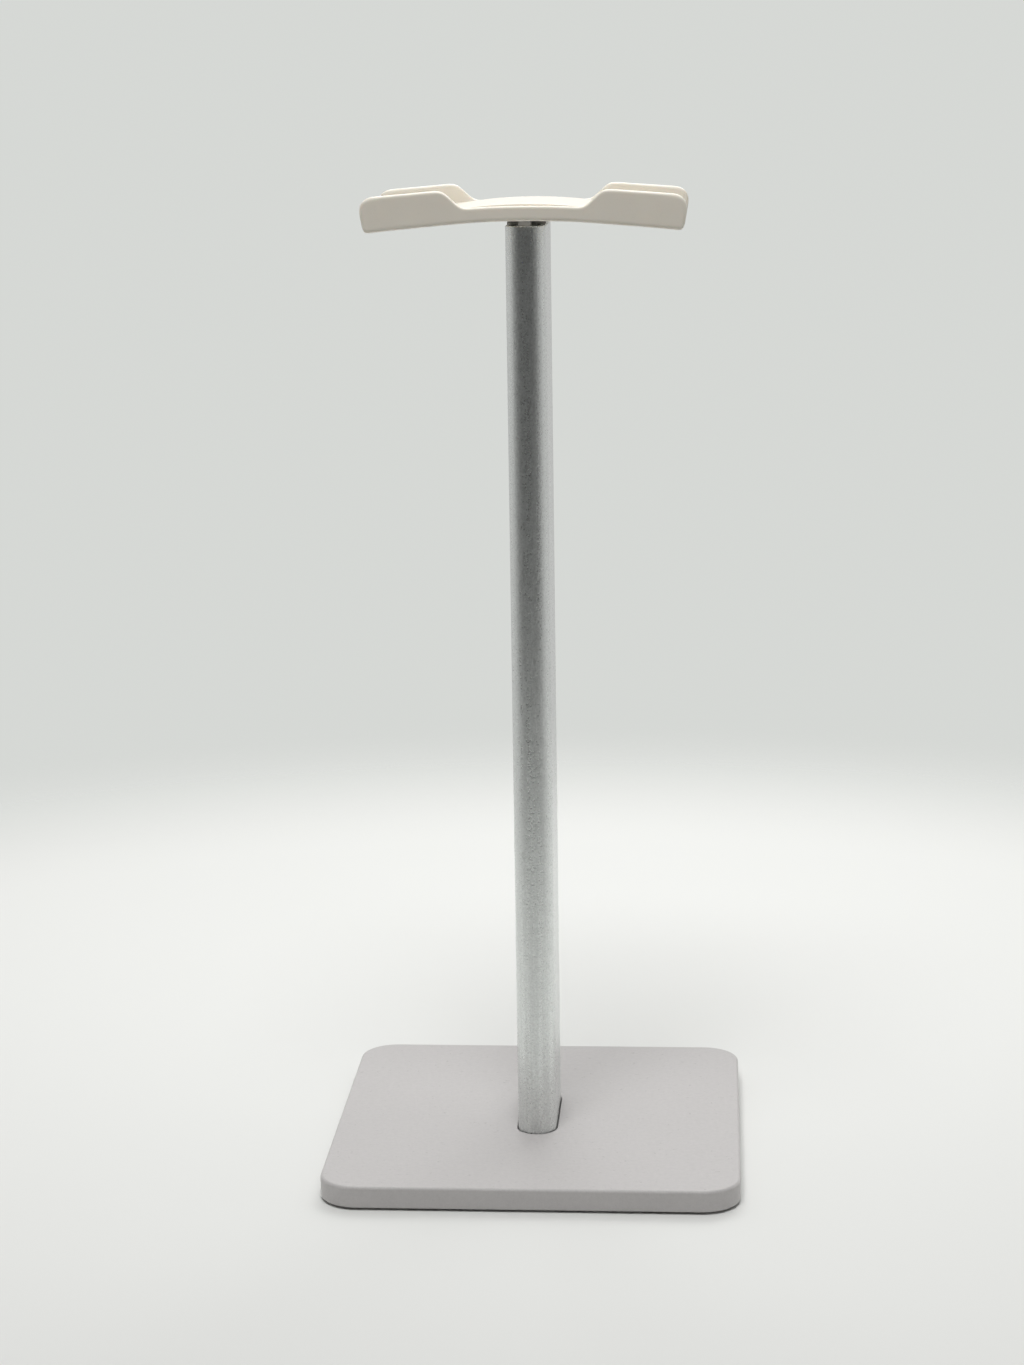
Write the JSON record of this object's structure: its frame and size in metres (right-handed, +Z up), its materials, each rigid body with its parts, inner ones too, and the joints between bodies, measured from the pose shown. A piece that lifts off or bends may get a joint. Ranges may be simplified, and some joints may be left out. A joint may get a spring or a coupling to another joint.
{
  "type": "headphone stand",
  "caption": "Free-standing headphone stand: a flat weighted square base, a slim flat-oval metal post and a flexible saddle with raised ears.",
  "frame": {"origin": "on the table under the middle of the square base", "axes": "+Z up the post, X along the headband from the left ear pair to the right, -Y to the front"},
  "size_m": [0.11, 0.11, 0.2592],
  "materials": {
    "base_plastic": "pale grey-white moulded plastic with a fine spark-eroded grain",
    "bottom_plastic": "pale grey-white moulded plastic, slightly coarser grain",
    "ballast_steel": "zinc-plated sheet steel, as rolled",
    "screw_steel": "bright zinc plate",
    "foot_rubber": "black die-cut rubber",
    "post_aluminium": "extruded, fine bead-blasted and clear anodised",
    "plug_plastic": "plain grey moulded plastic",
    "saddle_elastomer": "smooth warm-white thermoplastic elastomer, satin"
  },
  "bodies": {
    "root": {"base_cover": "base_plastic", "base_bottom_plate": "bottom_plastic", "ballast_plate": "ballast_steel", "cover_screws": "screw_steel", "post_screws": "screw_steel", "foot_front_left": "foot_rubber", "foot_front_right": "foot_rubber", "foot_rear_left": "foot_rubber", "foot_rear_right": "foot_rubber", "post": "post_aluminium", "headrest_plug": "plug_plastic", "headrest_pad": "saddle_elastomer"}
  },
  "joints": []
}
